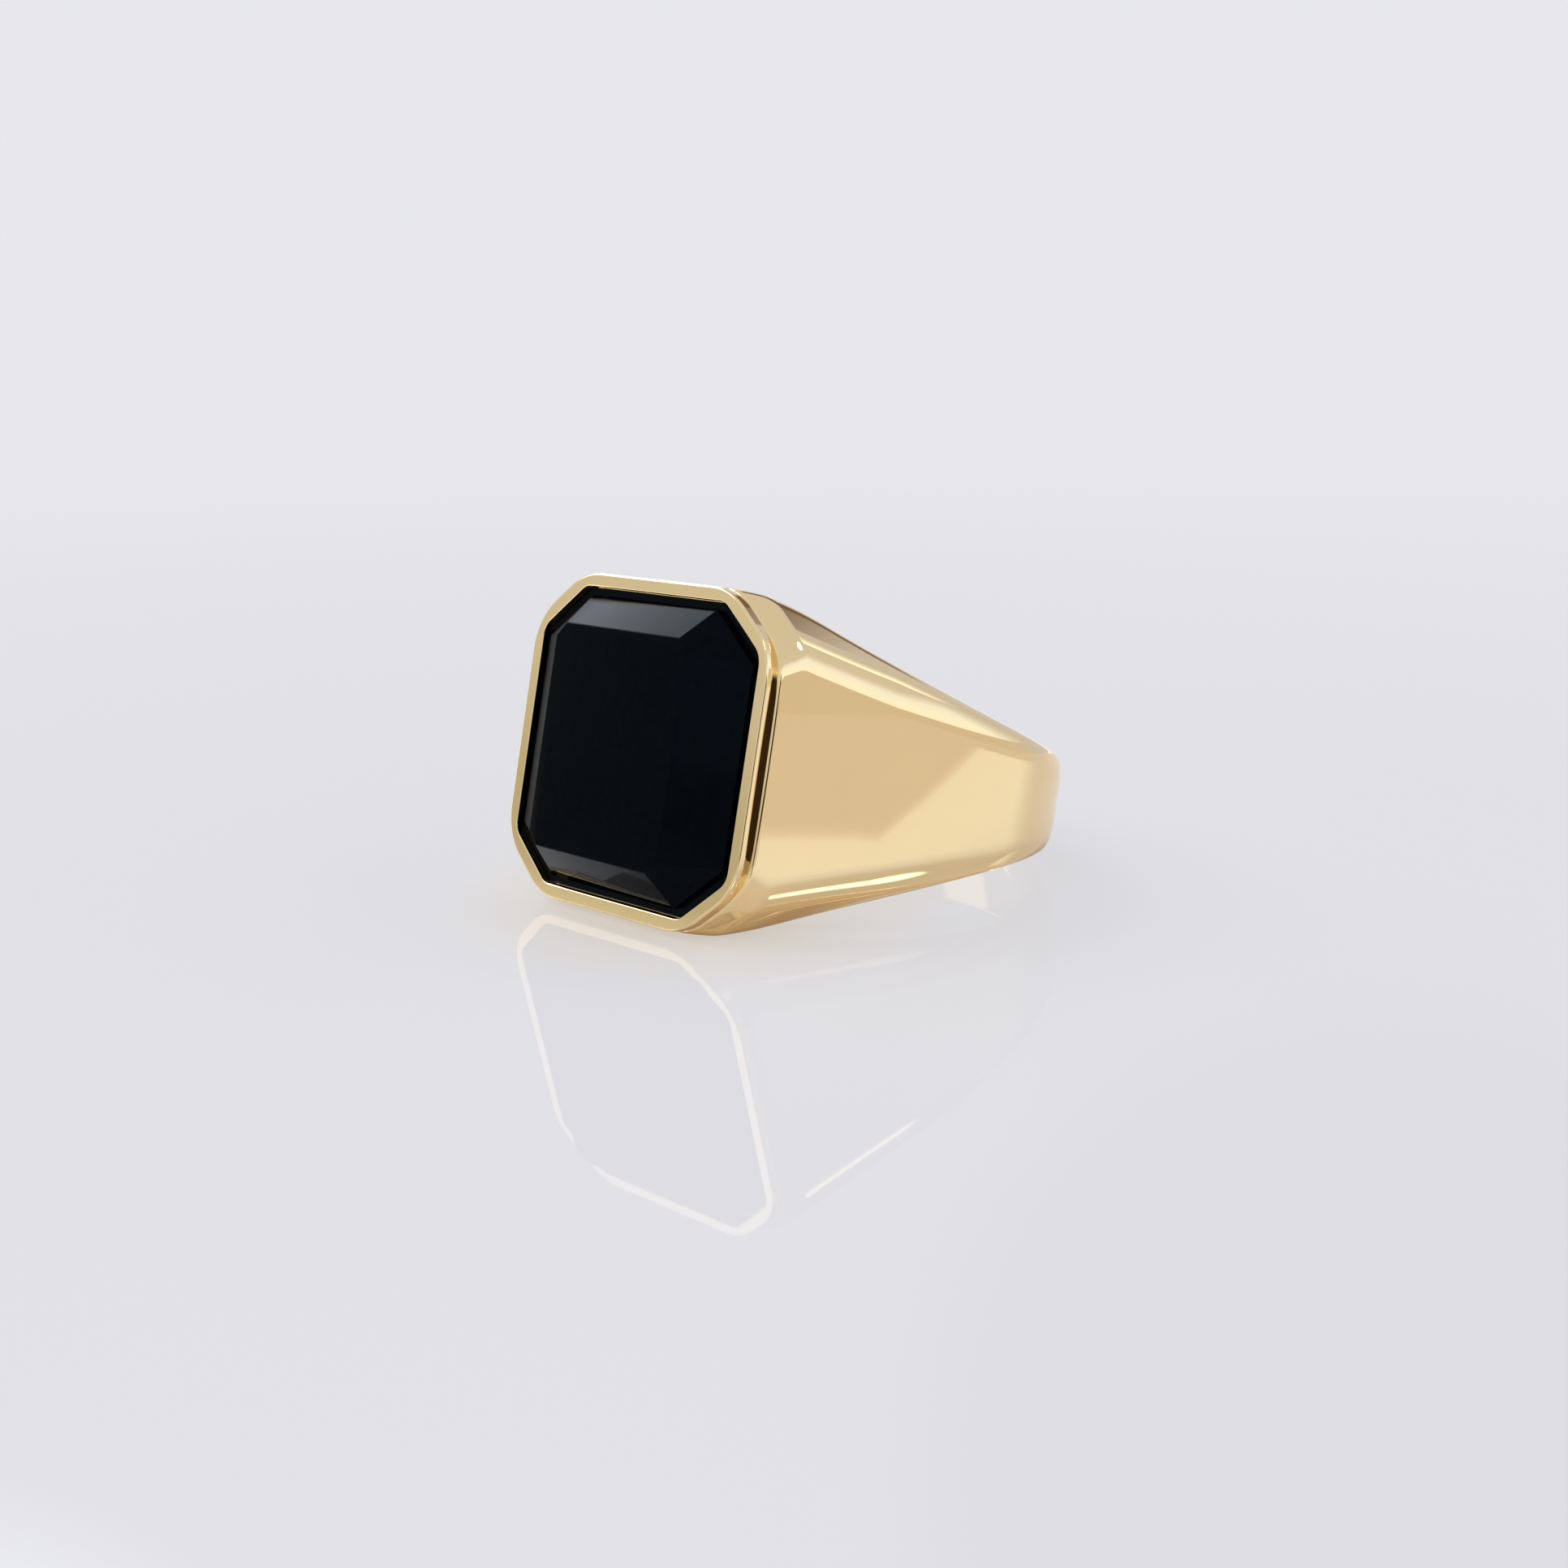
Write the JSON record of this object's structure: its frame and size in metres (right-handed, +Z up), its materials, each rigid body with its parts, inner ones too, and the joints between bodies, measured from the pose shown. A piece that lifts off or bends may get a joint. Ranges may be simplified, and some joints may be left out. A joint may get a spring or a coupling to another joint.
{
  "type": "signet ring",
  "caption": "Gold signet ring with an octagonal step-cut black onyx in a bezel, lying on its side.",
  "frame": {"origin": "on the ground, under the middle of the ring's bounding box, with the ring lying on its side", "axes": "+Z up, +X across the finger through the symmetric halves, -Y towards the stone, which tips 13 degrees upwards"},
  "size_m": [0.0218, 0.0264, 0.0146],
  "materials": {
    "polished_gold": "mirror polished yellow gold",
    "seat_gold": "satin, as cast and filed",
    "black_onyx": "polished facets",
    "cement": "matt"
  },
  "bodies": {
    "root": {"ring_body": "polished_gold", "bezel_collar": "polished_gold", "stone_seat": "seat_gold", "onyx_stone": "black_onyx", "setting_cement": "cement"}
  },
  "joints": []
}
